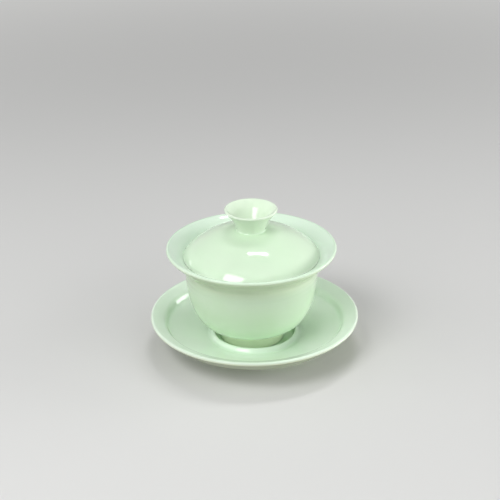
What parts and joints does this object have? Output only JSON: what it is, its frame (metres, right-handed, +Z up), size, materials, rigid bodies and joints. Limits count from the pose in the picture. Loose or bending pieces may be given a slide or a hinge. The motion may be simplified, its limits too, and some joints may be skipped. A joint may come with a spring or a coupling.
{
  "type": "gaiwan",
  "caption": "Lidded porcelain tea bowl with a flared rim and a domed lid with a hollow knob, standing in the well of a dished saucer.",
  "frame": {"origin": "on the table under the centre of the saucer, which is the centre of the bounding box's underside", "axes": "+Z up, along the saucer's axis; -Y towards the front; the bowl stands 1.4 mm off the saucer's axis, towards -X"},
  "size_m": [0.1216, 0.1216, 0.0871],
  "materials": {
    "saucer_glaze": "glossy pale celadon glaze",
    "bowl_glaze": "glossy pale celadon glaze",
    "lid_glaze": "glossy pale celadon glaze"
  },
  "bodies": {
    "saucer": {"saucer": "saucer_glaze"},
    "bowl": {"bowl": "bowl_glaze"},
    "lid": {"lid": "lid_glaze"}
  },
  "joints": [
    {"name": "bowl_lift", "type": "slide", "parent": "saucer", "child": "bowl", "axis": [0, 0, 1], "range_m": [0, 0.04]},
    {"name": "lid_lift", "type": "slide", "parent": "bowl", "child": "lid", "axis": [0, 0, 1], "range_m": [0, 0.05]}
  ]
}
